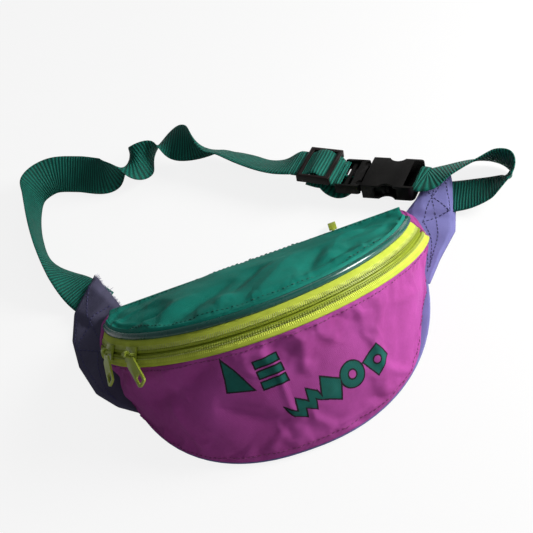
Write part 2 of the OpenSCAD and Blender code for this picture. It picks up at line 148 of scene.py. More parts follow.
# %% A shader value in plain arithmetic
class Value:
    def __init__(self, finish, socket):
        self.finish, self.socket = finish, socket

    def math(self, operation, *others, flip=False):
        terms = [*others, self] if flip else [self, *others]
        node = self.finish.tree.nodes.new("ShaderNodeMath")
        node.operation = operation
        for slot, term in zip(node.inputs, terms):
            if isinstance(term, Value):
                self.finish.tree.links.new(term.socket, slot)
            else:
                slot.default_value = term
        return Value(self.finish, node.outputs[0])

    def __add__(self, other): return self.math("ADD", other)
    def __radd__(self, other): return self.math("ADD", other)
    def __sub__(self, other): return self.math("SUBTRACT", other)
    def __rsub__(self, other): return self.math("SUBTRACT", other, flip=True)
    def __mul__(self, other): return self.math("MULTIPLY", other)
    def __truediv__(self, other): return self.math("DIVIDE", other)
    def __gt__(self, other): return self.math("GREATER_THAN", other)
    def __lt__(self, other): return self.math("LESS_THAN", other)
    def __abs__(self): return self.math("ABSOLUTE")
    def sine(self): return self.math("SINE")
    def most(self, other): return self.math("MAXIMUM", other)
    def least(self, other): return self.math("MINIMUM", other)
    def power(self, other): return self.math("POWER", other)
    def wave(self, pitch): return (self * (math.tau / pitch)).sine()
    def within(self): return self.math("MAXIMUM", 0.0).math("MINIMUM", 1.0)

# %% A finish: one material and its nodes
class Finish:
    def __init__(self, name, **constants):
        self.material = bpy.data.materials.new(name)
        self.material.use_nodes = True
        self.tree = self.material.node_tree
        self.surface = self.tree.nodes["Principled BSDF"]
        for socket, value in constants.items():
            self.surface.inputs[socket.replace("_", " ")].default_value = value

    def node(self, kind, output=0, links=(), sockets=(), **settings):
        made = self.tree.nodes.new(kind)
        for key, value in settings.items():
            setattr(made, key, value)
        for key, value in dict(sockets).items():
            made.inputs[key].default_value = value
        for key, value in dict(links).items():
            self.tree.links.new(value.socket, made.inputs[key])
        return Value(self, made.outputs[output])

    def own_map(self, layer="cut"):
        flat = self.node("ShaderNodeUVMap", uv_map=layer)
        apart = self.node("ShaderNodeSeparateXYZ", links={0: flat}).socket.node
        return Value(self, apart.outputs[0]) * 1000, Value(self, apart.outputs[1]) * 1000

    def place(self):
        return self.node("ShaderNodeTexCoord", output="Object")

    def noise(self, size, detail=3, rough=0.5):
        return self.node("ShaderNodeTexNoise", links={"Vector": self.place()},
                         sockets={"Scale": 1000 / size, "Detail": detail, "Roughness": rough})

    def mix(self, share, one, two):
        made = self.tree.nodes.new("ShaderNodeMix")
        made.data_type = "RGBA"
        self.tree.links.new(share.socket, made.inputs[0])
        for slot, tone in ((6, one), (7, two)):
            if isinstance(tone, Value):
                self.tree.links.new(tone.socket, made.inputs[slot])
            else:
                made.inputs[slot].default_value = (*tone, 1)
        return Value(self, made.outputs[2])

    def drive(self, socket, value):
        self.tree.links.new(value.socket, self.surface.inputs[socket])

    def relief(self, height, depth):
        bump = self.tree.nodes.new("ShaderNodeBump")
        bump.inputs["Strength"].default_value = 1
        bump.inputs["Distance"].default_value = depth * MM
        self.tree.links.new(height.socket, bump.inputs["Height"])
        self.tree.links.new(bump.outputs[0], self.surface.inputs["Normal"])

# %% [markdown]
# ## Finishes
# The cloth is coated nylon twill: a fine diagonal weave, a soft sheen and faint blotches from use.
# The webbing has strong cross ribs, the zip tape a herringbone look, and the plastic a fine grain.

# %% Twill cloth
def twill(name, dark, light, rough=0.62, sheen=0.25, depth=0.05):
    cloth = Finish(name, Roughness=rough, Sheen_Weight=sheen, Sheen_Roughness=0.45, Specular_IOR_Level=0.18)
    cloth.surface.inputs["Sheen Tint"].default_value = (*light, 1)
    u, v = cloth.own_map()
    weave = (u + v * 0.6).wave(0.62) * 0.5 + (u * 0.4 - v).wave(0.9) * 0.28
    blotch = cloth.noise(28, 4, 0.6)
    grain = cloth.noise(1.3, 2)
    tone = (blotch * 1.3 - 0.2 + weave * 0.13 + grain * 0.25 - 0.12).within()
    cloth.drive("Base Color", cloth.mix(tone, dark, light))
    cloth.drive("Roughness", (rough - 0.08 + blotch * 0.16).within())
    cloth.relief(weave + grain * 0.8 + cloth.noise(5, 3) * 1.5, depth)
    return cloth

green_twill = twill("green_twill", (0.0015, 0.10, 0.074), (0.005, 0.27, 0.205), 0.66, 0.04)
wing_cloth = twill("wing_cloth", (0.125, 0.12, 0.31), (0.20, 0.195, 0.45), 0.76, 0.04)
# Painted shade: a darker, greyer copy of the wing cloth for the left wing, which lies in shadow.
painted_shade_wing_cloth = twill("painted_shade_wing_cloth", (0.055, 0.052, 0.085), (0.10, 0.096, 0.17), 0.76, 0.04)
lining = twill("lining", (0.03, 0.05, 0.055), (0.055, 0.085, 0.09), 0.5, 0.1)
tab_cloth = twill("tab_cloth", (0.22, 0.03, 0.15), (0.40, 0.07, 0.31), 0.7, 0.06)
print("twill finishes made")

# %% [markdown]
# The front carries a printed row of plain signs, teal with a dark outline. Each sign is a distance:
# below zero is paint, and the first millimetre outside is outline.

# %% Printed signs on the front
def box_sign(x, y, half_width, half_height):
    return (abs(x) - half_width).most(abs(y) - half_height)

def turned_to(x, y, angle):
    c, s = math.cos(math.radians(angle)), math.sin(math.radians(angle))
    return x * c + y * s, y * c - x * s

def ring_sign(x, y, radius, wide):
    return abs((x * x + y * y).power(0.5) - radius) - wide

def bars_sign(x, y):
    stack = box_sign(x, y - 6.2, 6.4, 1.7)
    return stack.least(box_sign(x, y, 6.4, 1.7)).least(box_sign(x, y + 6.2, 6.4, 1.7))

def wedge_sign(x, y):
    return (0 - y - 8.5).most(0 - x - 6.5).most((x * 0.79 + y * 0.61) - 1.2)

def diamond_sign(x, y):
    return (abs(x) * 0.78 + abs(y) * 0.62) - 5.4

def zigzag_sign(x, y):
    tooth = abs((x / 7 + 0.25).math("FRACT") - 0.5) * 11 - 2.75
    return (abs(y - tooth) * 0.6 - 1.8).most(abs(x) - 8.2)

magenta_twill = twill("magenta_twill", (0.28, 0.034, 0.20), (0.50, 0.085, 0.40), 0.68, 0.06, 0.09)
u, v = magenta_twill.own_map()
SIGNS = [
    (wedge_sign, -22.3, -16.3, -8), (bars_sign, -3.7, -18.7, 4), (zigzag_sign, 7.5, -42.0, 24),
    (diamond_sign, 22.3, -39.7, 20), (lambda x, y: ring_sign(x, y, 5.2, 2.0), 36.3, -38.5, 0),
    (lambda x, y: box_sign(x, y, 6.0, 6.0).most(0 - ring_sign(x, y, 0, 3.0)), 53.5, -38.7, 28),
]
paint = None
for shape, at_u, at_v, angle in SIGNS:
    x, y = turned_to(u - at_u, v - at_v, angle)
    mark = shape(x, y)
    paint = mark if paint is None else paint.least(mark)
edge = magenta_twill.noise(0.9, 2) * 0.5 - 0.25
inside = (paint + edge) < 0.0
outline = ((paint + edge) < 0.95) - inside
teal = magenta_twill.mix(magenta_twill.noise(6, 3), (0.002, 0.075, 0.06), (0.006, 0.13, 0.105))
base = magenta_twill.surface.inputs["Base Color"].links[0].from_socket
worn = magenta_twill.mix(inside, Value(magenta_twill, base), teal)
magenta_twill.drive("Base Color", magenta_twill.mix(outline, worn, (0.010, 0.009, 0.014)))
print("six plain signs printed")

# %% Webbing
webbing = Finish("webbing", Roughness=0.66, Sheen_Weight=0.03, Specular_IOR_Level=0.2)
u, v = webbing.own_map()
wander = webbing.noise(9, 2) * 0.7
rib = (v + wander).wave(1.9) * 0.5 + 0.5
bead = (u + (v.math("DIVIDE", 1.9).math("FLOOR") * 0.65)).wave(1.25) * 0.5 + 0.5
weave = rib * 0.7 + bead * rib * 0.5
tone = (weave * 0.8 + webbing.noise(12, 3) * 0.5 - 0.25).within()
webbing.drive("Base Color", webbing.mix(tone, (0.0012, 0.045, 0.033), (0.005, 0.19, 0.14)))
webbing.relief(weave + webbing.noise(0.8, 2) * 0.4, 0.32)

# %% Zip tape and coil
lime_tape = Finish("lime_tape", Roughness=0.76, Sheen_Weight=0.03, Specular_IOR_Level=0.2)
u, v = lime_tape.own_map()
slant = (u + abs(v - 5.2) * 1.4).wave(0.95) * 0.5 + 0.5
stitch = (u.wave(1.15) * 0.5 + 0.5) * ((abs(v - 3.9) < 1.25))
tone = (slant * 0.35 + stitch * 0.5 + lime_tape.noise(7, 3) * 0.55 - 0.1).within()
lime_tape.drive("Base Color", lime_tape.mix(tone, (0.34, 0.42, 0.022), (0.80, 0.92, 0.12)))
lime_tape.relief(slant * 0.5 + stitch * 1.4 + lime_tape.noise(0.7, 2) * 0.4, 0.22)
lime_coil = Finish("lime_coil", Roughness=0.42)
lime_coil.drive("Base Color", lime_coil.mix(lime_coil.noise(3, 3), (0.22, 0.28, 0.012), (0.38, 0.46, 0.03)))
lime_coil.relief(lime_coil.noise(0.6, 2), 0.05)
lime_thread = Finish("lime_thread", Roughness=0.55)
strand = lime_thread.mix(lime_thread.noise(1.5, 2), (0.36, 0.43, 0.06), (0.62, 0.68, 0.2))
lime_thread.drive("Base Color", strand)
lime_thread.relief(lime_thread.noise(0.3, 2), 0.05)

# %% Painted metal, vinyl piping and black plastic
lime_paint = Finish("lime_paint", Roughness=0.34, Coat_Weight=0.35, Coat_Roughness=0.2)
chip = (lime_paint.noise(2.2, 5, 0.7) > 0.66) * (lime_paint.noise(9, 2) > 0.52)
coat = lime_paint.mix(lime_paint.noise(14, 3), (0.25, 0.32, 0.018), (0.40, 0.48, 0.045))
lime_paint.drive("Base Color", lime_paint.mix(chip, coat, (0.16, 0.17, 0.10)))
lime_paint.drive("Roughness", (0.28 + lime_paint.noise(3, 4) * 0.2).within())
lime_paint.relief(lime_paint.noise(1.2, 3) - chip * 0.6, 0.05)
piping_vinyl = Finish("piping", Roughness=0.2, Coat_Weight=0.5, Coat_Roughness=0.12)
vinyl = piping_vinyl.mix(piping_vinyl.noise(16, 3), (0.002, 0.055, 0.042), (0.005, 0.11, 0.085))
piping_vinyl.drive("Base Color", vinyl)
piping_vinyl.drive("Roughness", (0.17 + piping_vinyl.noise(6, 4) * 0.18).within())
piping_vinyl.relief(piping_vinyl.noise(2.5, 3) + piping_vinyl.noise(9, 2) * 2, 0.14)
def plastic(name, dark, light, rough):
    made = Finish(name, Roughness=rough, Specular_IOR_Level=0.14)
    made.drive("Base Color", made.mix(made.noise(8, 4), dark, light))
    scuff = (made.noise(4, 5, 0.7) - 0.5) * 2
    made.drive("Roughness", (rough + scuff * 0.12).within())
    made.relief(made.noise(0.5, 2) + made.noise(3, 3) * 0.8, 0.035)
    return made

black_plastic = plastic("black_plastic", (0.0028, 0.0026, 0.0024), (0.006, 0.0055, 0.005), 0.46)
brown_plastic = plastic("brown_plastic", (0.006, 0.004, 0.0038), (0.013, 0.008, 0.0075), 0.34)
def thread_finish(name, dark, light):
    made = Finish(name, Roughness=0.6)
    made.drive("Base Color", made.mix(made.noise(1.2, 2), dark, light))
    made.relief(made.noise(0.25, 2), 0.04)
    return made

magenta_thread = thread_finish("magenta_thread", (0.14, 0.014, 0.095), (0.24, 0.032, 0.17))
violet_thread = thread_finish("violet_thread", (0.03, 0.03, 0.10), (0.06, 0.055, 0.17))
green_thread = thread_finish("green_thread", (0.0015, 0.06, 0.045), (0.003, 0.10, 0.075))
fray_thread = thread_finish("fray_thread", (0.22, 0.21, 0.36), (0.40, 0.38, 0.52))
print(len(bpy.data.materials), "materials")

# %% [markdown]
# ## Meshes from rows of points
# A cloth panel, a strap and a pipe are all a grid of points. One helper makes the mesh, and writes a
# UV map named `cut` that holds the cloth's own metres, so each weave keeps its true size.

# %% Grid mesh
def arc_lengths(grid):
    """Millimetres along the rows and down the columns of a grid of points."""
    across = np.zeros(grid.shape[:2])
    down = np.zeros(grid.shape[:2])
    across[:, 1:] = np.cumsum(np.linalg.norm(np.diff(grid, axis=1), axis=2), axis=1)
    down[1:] = np.cumsum(np.linalg.norm(np.diff(grid, axis=0), axis=2), axis=0)
    return across, down

def grid_piece(name, grid, finish, cut=None, ring=False, caps=False):
    """A piece from rows of points in millimetres; ring closes each row, caps close the ends."""
    rows, cols = grid.shape[:2]
    if cut is None:
        across, down = arc_lengths(grid)
        cut = np.stack([across - across[:, cols // 2:cols // 2 + 1], down], 2)
    mesh = bpy.data.meshes.new(name)
    faces = []
    for i in range(rows - 1):
        for j in range(cols if ring else cols - 1):
            k = (j + 1) % cols
            faces.append((i * cols + j, i * cols + k, (i + 1) * cols + k, (i + 1) * cols + j))
    if caps:
        faces += [tuple(range(cols))[::-1], tuple((rows - 1) * cols + j for j in range(cols))]
    mesh.from_pydata((grid.reshape(-1, 3) * MM).tolist(), [], faces)
    layer = mesh.uv_layers.new(name="cut")
    place = np.zeros(len(mesh.loops), np.int32)
    mesh.loops.foreach_get("vertex_index", place)
    layer.data.foreach_set("uv", (cut.reshape(-1, 2)[place] * MM).ravel())
    for face in mesh.polygons:
        face.use_smooth = True
    mesh.materials.append(finish.material)
    piece = bpy.data.objects.new(name, mesh)
    scene.collection.objects.link(piece)
    return piece

def only(piece):
    bpy.ops.object.select_all(action="DESELECT")
    piece.select_set(True)
    bpy.context.view_layer.objects.active = piece

def outward(piece):
    only(piece)
    bpy.ops.object.mode_set(mode="EDIT")
    bpy.ops.mesh.select_all(action="SELECT")
    bpy.ops.mesh.normals_make_consistent(inside=False)
    bpy.ops.object.mode_set(mode="OBJECT")
    piece.select_set(False)

def modify(piece, kind, **settings):
    only(piece)
    bpy.ops.object.modifier_add(type=kind)
    modifier = piece.modifiers[-1]
    for key, value in settings.items():
        setattr(modifier, key, value)
    bpy.ops.object.modifier_apply(modifier=modifier.name)
    piece.select_set(False)

def thicken(piece, thick):
    """A wall of cloth, softened by one subdivision that keeps its cut edges square."""
    modify(piece, "SOLIDIFY", thickness=thick * MM, offset=-1.0, use_even_offset=False,
           edge_crease_inner=1.0, edge_crease_outer=1.0, edge_crease_rim=1.0)
    modify(piece, "SUBSURF", levels=1, render_levels=1)

def crisp(piece):
    """Smooth faces that stay sharp at the cut edges."""
    only(piece)
    bpy.ops.object.shade_smooth_by_angle(angle=math.radians(50))
    piece.select_set(False)

def settle_down(piece, body, slot, *nodes):
    if "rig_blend" not in piece:
        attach(piece, body)
    if nodes:
        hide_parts(*nodes)

def area_of(grid):
    a, b = grid[1:, :-1] - grid[:-1, :-1], grid[:-1, 1:] - grid[:-1, :-1]
    c, d = grid[1:, 1:] - grid[1:, :-1], grid[1:, 1:] - grid[:-1, 1:]
    return 0.5 * (np.linalg.norm(np.cross(a, b), axis=2) + np.linalg.norm(np.cross(c, d), axis=2)).sum()

# %% [markdown]
# ## The shape of the pouch
# The zip follows a circle of radius 104 tilted by 35 degrees. Points near it are easiest to give as an
# angle along the zip, `m` out of the band and `v` across the band towards the lid.

# %% Places on the pouch
TILT, LEAN, RADIUS = math.radians(35), math.radians(30), 104
RIDGE = (64, 12.4)
def cosd(a): return np.cos(np.radians(a))
def sind(a): return np.sin(np.radians(a))

def band_spot(m, v, a):
    out = RADIUS + m * math.cos(LEAN) - v * math.sin(LEAN)
    rise = m * math.sin(LEAN) + v * math.cos(LEAN)
    return np.stack([out * sind(a), 53.5 - out * cosd(a) * math.cos(TILT) + rise * math.sin(TILT),
                     4 + out * cosd(a) * math.sin(TILT) + rise * math.cos(TILT)], -1)

def back_edge(a):
    s, c = sind(a), cosd(a)
    return np.stack([98 * np.sign(s) * abs(s) ** (2 / 2.3), 40 - 115 * abs(c) ** (2 / 2.3), 1.6 + 0 * s], -1)

def unit(p):
    return p / np.linalg.norm(p, axis=-1, keepdims=True)

def front_spot(a, t):
    high, low = band_spot(0, -7, a), back_edge(a)
    tuck = 0.045 * np.exp(-((a - 64) / 12) ** 2)
    low = low + (np.array([0, 40, 1.6]) - low) * tuck[..., None]
    middle = high * (1 - t)[..., None] + low * t[..., None]
    normal = unit(middle - np.array([0, 20, 8]))
    swell = 4 * np.sin(np.pi * t) * np.sin(np.pi / 2 * t) * cosd(0.8 * a)
    return middle + normal * swell[..., None], normal

def lid_spot(x, t):
    high = band_spot(0, 13.5, np.degrees(np.arcsin(np.clip(x / 97.25, -1, 1))))
    ridge = np.stack([x, 0 * x + RIDGE[0], 0 * x + RIDGE[1]], -1)
    middle = high * (1 - t)[..., None] + ridge * t[..., None]
    swell = 3 * np.sin(np.pi * t) * np.clip((97 - abs(x)) / 30, 0, 1)
    return middle + np.array([0, 0.54, 0.84]) * swell[..., None]

print("zip top", band_spot(0, 0, np.array(0.0)).round(1), "ridge", RIDGE)

# %% [markdown]
# ## Cloth that creases by itself
# Each panel is cut a little larger than its frame and held at its edges, and Blender's cloth solver
# lets it buckle. What it moves is capped, so that the panel stays where the frame is. Broad folds
# that the pack has from being packed away are added as gentle ridges afterwards.

# %% Cloth solver
def buckle_cloth(name, grid, shrink, pressure, cap, frames=18):
    """The grid after the cloth solver, held all round its edge."""
    piece = grid_piece(name, grid, lining)
    rows, cols = grid.shape[:2]
    held = piece.vertex_groups.new(name="held")
    rim = [i * cols + j for i in range(rows) for j in range(cols)
           if i in (0, rows - 1) or j in (0, cols - 1)]
    held.add(rim, 1.0, "REPLACE")
    only(piece)
    bpy.ops.object.modifier_add(type="CLOTH")
    cloth = piece.modifiers[-1].settings
    cloth.quality = 7
    cloth.mass = 0.1
    cloth.tension_stiffness = cloth.compression_stiffness = 12
    cloth.shear_stiffness = 4
    cloth.bending_stiffness = 0.02
    cloth.vertex_group_mass = "held"
    cloth.shrink_min = shrink
    cloth.use_pressure = True
    cloth.uniform_pressure_force = pressure
    cloth.effector_weights.gravity = 0
    for step in range(1, frames + 1):
        scene.frame_set(step)
    seen = piece.evaluated_get(bpy.context.evaluated_depsgraph_get())
    after = np.empty(rows * cols * 3)
    seen.data.vertices.foreach_get("co", after)
    bpy.data.objects.remove(piece, do_unlink=True)
    scene.frame_set(1)
    move = after.reshape(grid.shape) / MM - grid
    far = np.linalg.norm(move, axis=2, keepdims=True)
    move *= np.minimum(1, cap / np.maximum(far, 1e-6))
    print(name, "moved at most", round(float(far.max()), 2), "mm")
    return grid + move

def fold(u, v, start, end, wide, high):
    """A rounded ridge from start to end on a panel, in millimetres of cloth."""
    line = np.subtract(end, start)
    length = np.hypot(*line)
    along = ((u - start[0]) * line[0] + (v - start[1]) * line[1]) / length
    off = ((v - start[1]) * line[0] - (u - start[0]) * line[1]) / length
    fade = np.clip(along / (0.3 * length), 0, 1) * np.clip((length - along) / (0.3 * length), 0, 1)
    return 1.4 * high * np.exp(-np.abs(off / wide) ** 1.5) * fade * (2 - fade) * (fade > 0)

def ripple(u, v, seed, size):
    """Smooth unevenness of a cloth, from a few crossing waves; the same each time."""
    deal = np.random.default_rng(seed)
    total = np.zeros_like(u)
    for _ in range(9):
        angle, phase, stretch = deal.uniform(0, math.tau), deal.uniform(0, math.tau), deal.uniform(0.6, 1.7)
        total += np.sin((u * math.cos(angle) + v * math.sin(angle)) * math.tau / (size * stretch) + phase)
    return total / 9

# %% [markdown]
# ## Front panel
# Magenta cloth runs from the zip's lower tape to the back panel. The seam gathers it into small
# puckers, and the slack cloth has slanting folds. It is one sheet, then given its thickness.

# %% Front panel
a = np.linspace(-84, 84, 145)[None, :] + np.zeros((49, 1))
t = np.linspace(0, 1, 49)[:, None] + np.zeros((1, 145))
grid, normal = front_spot(a, t)
grid = buckle_cloth("front_trial", grid, -0.022, 0.8, 1.8)
FRONT_U = a * 1.86
FRONT_V = -t * 70
rim = np.minimum(1, np.minimum(t / 0.05, (1 - t) / 0.06)) * np.minimum(1, (84 - abs(a)) / 4)
pucker = np.exp(t * -9) * (ripple(FRONT_U * 1.7, FRONT_V * 0.15, 4, 9) * 1.9) * np.minimum(1, t / 0.02)
push = pucker + ripple(FRONT_U, FRONT_V * 1.3, 7, 34) * 0.9 + ripple(FRONT_U, FRONT_V, 9, 13) * 0.25
for start, end, wide, high in [
        ((-30, -3), (-92, -34), 6.5, -2.4), ((-48, 0), (-110, -20), 7, 1.6), ((-72, -20), (-54, -66), 5, 2.2),
        ((-40, -30), (-8, -46), 4.5, -2.0), ((-8, -44), (26, -40), 3, 1.3), ((-10, -45), (22, -66), 6, -1.5),
        ((0, -2), (20, -22), 5, -1.5), ((20, -2), (12, -26), 4, 1.3), ((36, -3), (64, -20), 6, -1.5),
        ((60, -6), (120, -34), 7, 1.4), ((84, -20), (70, -58), 7, -1.3), ((-100, -10), (-128, -52), 7, 1.7),
        ((-118, -6), (-140, -50), 5, -1.6), ((-60, -34), (-30, -60), 7, 1.2)]:
    push = push + fold(FRONT_U, FRONT_V, start, end, wide, high)
grid = grid + normal * (push * rim)[..., None]
grid[..., 2] = np.maximum(grid[..., 2], 1.6)
front_cloth = grid_piece("front_cloth", grid, magenta_twill, np.stack([FRONT_U, FRONT_V], 2))
outward(front_cloth)
front_cloth.data.materials.append(lining.material)
modify(front_cloth, "SOLIDIFY", thickness=1.0 * MM, offset=-1, material_offset=1)
modify(front_cloth, "SUBSURF", levels=1, render_levels=1)
settle_down(front_cloth, "pouch", "magenta_twill", "front_panel")
front_area = area_of(grid)
FRONT_GRID, FRONT_NORMAL = grid, normal
print("front panel", round(float(front_area) / 100), "square centimetres")

# %% [markdown]
# ## Lid
# The green lid lifts about the ridge behind it. Its two halves bend where they meet the fixed ends of
# the zip, so each half is one sheet that follows the pouch at its end and the lid in the middle.

# %% Lid cloth
x = np.linspace(-95.5, 95.5, 133)[None, :] + np.zeros((33, 1))
t = np.linspace(0, 1, 33)[:, None] + np.zeros((1, 133))
grid = lid_spot(x, t)
grid = buckle_cloth("lid_trial", grid, -0.02, 0.35, 1.6)
LID_V = arc_lengths(grid)[1]
rim = np.minimum(1, np.minimum(t / 0.08, (1 - t) / 0.1)) * np.minimum(1, (95.5 - abs(x)) / 6)
push = ripple(x, LID_V, 12, 40) * 0.8 + ripple(x, LID_V, 14, 16) * 0.25
for start, end, wide, high in [
        ((-88, 2), (-52, 34), 3.5, -1.8), ((-76, 0), (-34, 44), 6, 1.6), ((-60, 0), (-10, 54), 7, -2.4),
        ((-34, 4), (22, 60), 7, 1.4), ((6, 64), (-14, 22), 7, -2.2), ((30, 60), (-2, 6), 7, 1.2),
        ((-20, 5), (66, 3), 3.5, -1.4), ((20, 14), (84, 9), 4, 1.2), ((44, 48), (30, 16), 6, -1.8),
        ((66, 26), (20, 12), 4, -1.2), ((84, 20), (50, 40), 6, 1.0), ((-90, 10), (-70, 18), 3, 1.2)]:
    push = push + fold(x, LID_V, start, end, wide, high)
grid = grid + np.array([0, 0.5, 0.86]) * (push * rim)[..., None]
middle = 66
LID_MAP = np.stack([x, LID_V], 2)
LID_GRID = grid
for name, columns, end_x in (("lid_cloth_left", slice(0, middle + 1), -1),
                             ("lid_cloth_right", slice(middle, 133), 1)):
    half = grid_piece(name, grid[:, columns], green_twill, LID_MAP[:, columns])
    outward(half)
    if sum(face.normal.z for face in half.data.polygons) < 0:
        half.data.flip_normals()
    thicken(half, 1.0)
    crisp(half)
    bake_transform(half, "pouch", "lid", start=(end_x * 0.085, 0.03, 0.02),
             end=(end_x * 0.058, 0.03, 0.02))
    nodes = ("top_panel", "top_corner_left") if end_x < 0 else ("top_corner_right",)
    settle_down(half, "lid", "green_twill", *nodes)
    half_area = float(area_of(grid[:, columns])) * 1e-6
    print(name, "area", round(half_area * 1e4), "square centimetres")
print("lid halves made")

# %% [markdown]
# ## Bands along the zip
# The tapes, the piping and the rows of teeth all follow the same arc. Above the zip each one is cut
# in two at the middle, so that its ends can bend with the lid.

# %% Bands along the arc
def along_arc(name, outline, a0, a1, finish, cells):
    """A closed band: an outline of (m, v) pairs swept from one angle to another."""
    angles = np.linspace(a0, a1, cells + 1)
    outline = np.array(outline, float)
    grid = np.stack([band_spot(m, v, angles) for m, v in outline], 1)
    along = np.radians(angles)[:, None] * RADIUS + 0 * outline[None, :, 0]
    cut = np.stack([along, np.abs(outline[None, :, 1]) + 0 * along], 2)
    piece = grid_piece(name, grid, finish, cut, ring=True, caps=True)
    outward(piece)
    return piece

def bend_with_lid(piece, side, slot, *nodes):
    crisp(piece)
    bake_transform(piece, "pouch", "lid", start=(side * 0.085, 0.03, 0.02), end=(side * 0.058, 0.03, 0.02))
    settle_down(piece, "lid", slot, *nodes)

def tape_outline(v0, v1, thick, crown):
    """Outline of a tape with a low crown; m is thickness and v is width."""
    steps = np.linspace(v0, v1, 9)
    swell = crown * np.sin(np.pi * (steps - v0) / (v1 - v0)) ** 0.7
    over = [(thick / 2 + s, v) for s, v in zip(swell, steps)]
    return over + [(-thick / 2, v) for v in steps[::-1]]

ZIP_END = 80
HALVES = (("left", -1, -ZIP_END, 0), ("right", 1, 0, ZIP_END))
for name, side, a0, a1 in HALVES:
    tape = along_arc("upper_zip_tape_" + name, tape_outline(2.5, 8.6, 0.8, 0.55), a0, a1, lime_tape, 90)
    bend_with_lid(tape, side, "lime_tape", "upper_tape", "upper_tape_" + name)
    pipe = [(2.1 * math.sin(k * math.tau / 16) * 1.05, 10.5 - 2.25 * math.cos(k * math.tau / 16))
            for k in range(16)]
    piping = along_arc("lid_piping_" + name, pipe, a0, a1, piping_vinyl, 90)
    bend_with_lid(piping, side, "piping", "piping", "piping_" + name)
    welt = along_arc("lid_welt_" + name, tape_outline(11.6, 14.6, 0.9, 0.35), a0, a1, green_twill, 90)
    bend_with_lid(welt, side, "green_twill")
lower = along_arc("lower_zip_tape", tape_outline(-7.1, -2.5, 0.8, 0.4), -ZIP_END, ZIP_END, lime_tape, 180)
settle_down(lower, "pouch", "lime_tape", "lower_tape")

# %% Zip coil
def small_bar(at, along, across, out, sizes):
    """Eight corners of a bar with a narrowed top, in millimetres."""
    corners = []
    for k, (i, j) in ((-1, (1, 1)), (1, (0.62, 0.8))):
        for s, w in ((-1, -1), (1, -1), (1, 1), (-1, 1)):
            corners.append(at + along * s * sizes[0] * i / 2 + across * w * sizes[1] * j / 2
                           + out * k * sizes[2] / 2)
    return corners

BAR_FACES = [(3, 2, 1, 0), (4, 5, 6, 7), (0, 1, 5, 4), (1, 2, 6, 5), (2, 3, 7, 6), (3, 0, 4, 7)]
def bars_piece(name, bars, finish, smooth=True):
    verts, faces = [], []
    for corners in bars:
        base = len(verts)
        verts += [tuple(c * MM) for c in corners]
        faces += [tuple(base + k for k in face) for face in BAR_FACES]
    mesh = bpy.data.meshes.new(name)
    mesh.from_pydata(verts, [], faces)
    for face in mesh.polygons:
        face.use_smooth = smooth
    mesh.materials.append(finish.material)
    piece = bpy.data.objects.new(name, mesh)
    scene.collection.objects.link(piece)
    outward(piece)
    return piece

def band_axes(a):
    along = np.array([cosd(a), sind(a) * math.cos(TILT), -sind(a) * math.sin(TILT)])
    radial = np.array([sind(a), -cosd(a) * math.cos(TILT), cosd(a) * math.sin(TILT)])
    axis = np.array([0, math.sin(TILT), math.cos(TILT)])
    out = radial * math.cos(LEAN) + axis * math.sin(LEAN)
    across = axis * math.cos(LEAN) - radial * math.sin(LEAN)
    return along, across, out

def coil_row(name, v, sizes, m, a0, a1, pitch, finish, lean=0.0):
    step = math.degrees(pitch / RADIUS)
    bars = []
    for a in np.arange(a0 + step / 2, a1, step):
        along, across, out = band_axes(a)
        slant = unit(across + along * lean)
        bars.append(small_bar(band_spot(m, v, np.array(a)), along, slant, out, sizes))
    return bars_piece(name, bars, finish)

def cord_outline(v):
    """An eight-sided cord through a row of coils, centred v across the band."""
    return [(0.75 * math.cos(k * math.tau / 8) + 0.35, v + 0.8 * math.sin(k * math.tau / 8))
            for k in range(8)]

COIL, COIL_PITCH = (1.05, 2.0, 2.6), 1.5
coil_low = coil_row("lower_zip_coil", -1.55, COIL, 0, -ZIP_END, ZIP_END, COIL_PITCH, lime_coil, 0.2)
settle_down(coil_low, "pouch", "lime_coil", "lower_teeth")
core = along_arc("lower_coil_cord", cord_outline(-1.5), -ZIP_END, ZIP_END, lime_coil, 120)
settle_down(core, "pouch", "lime_coil")
strip_between = along_arc("zip_middle_strip", [(-0.75, -0.8), (-0.2, -0.8), (-0.2, 0.62), (-0.75, 0.62)],
                          -ZIP_END, ZIP_END, lime_coil, 120)
settle_down(strip_between, "pouch", "lime_coil")
seam = coil_row("lower_coil_stitches", -2.75, (1.0, 0.7, 0.9), 0.9, -ZIP_END, ZIP_END, COIL_PITCH, lime_thread)
settle_down(seam, "pouch", "lime_tape")
for name, side, a0, a1 in HALVES:
    coil = coil_row("upper_zip_coil_" + name, 1.55, COIL, 0, a0, a1, COIL_PITCH, lime_coil, -0.2)
    bend_with_lid(coil, side, "lime_coil", "upper_teeth", "upper_teeth_" + name)
    cord = along_arc("upper_coil_cord_" + name, cord_outline(1.5), a0, a1, lime_coil, 60)
    bend_with_lid(cord, side, "lime_coil")
    row = coil_row("upper_coil_stitches_" + name, 2.75, (1.0, 0.7, 0.9), 0.9, a0, a1, COIL_PITCH, lime_thread)
    bend_with_lid(row, side, "lime_tape")
    rib = coil_row("tape_rib_stitches_" + name, 4.0, (0.75, 2.3, 0.8), 0.62, a0, a1, 1.3, lime_thread, 0.25)
    bend_with_lid(rib, side, "lime_tape")
print("zip has about", round(math.radians(2 * ZIP_END) * RADIUS / COIL_PITCH), "turns a side")

# %% [markdown]
# ## Stitches
# Thread shows as a row of short bars that lie along a seam. One helper walks a path of points by its
# length and lays a bar at every step.

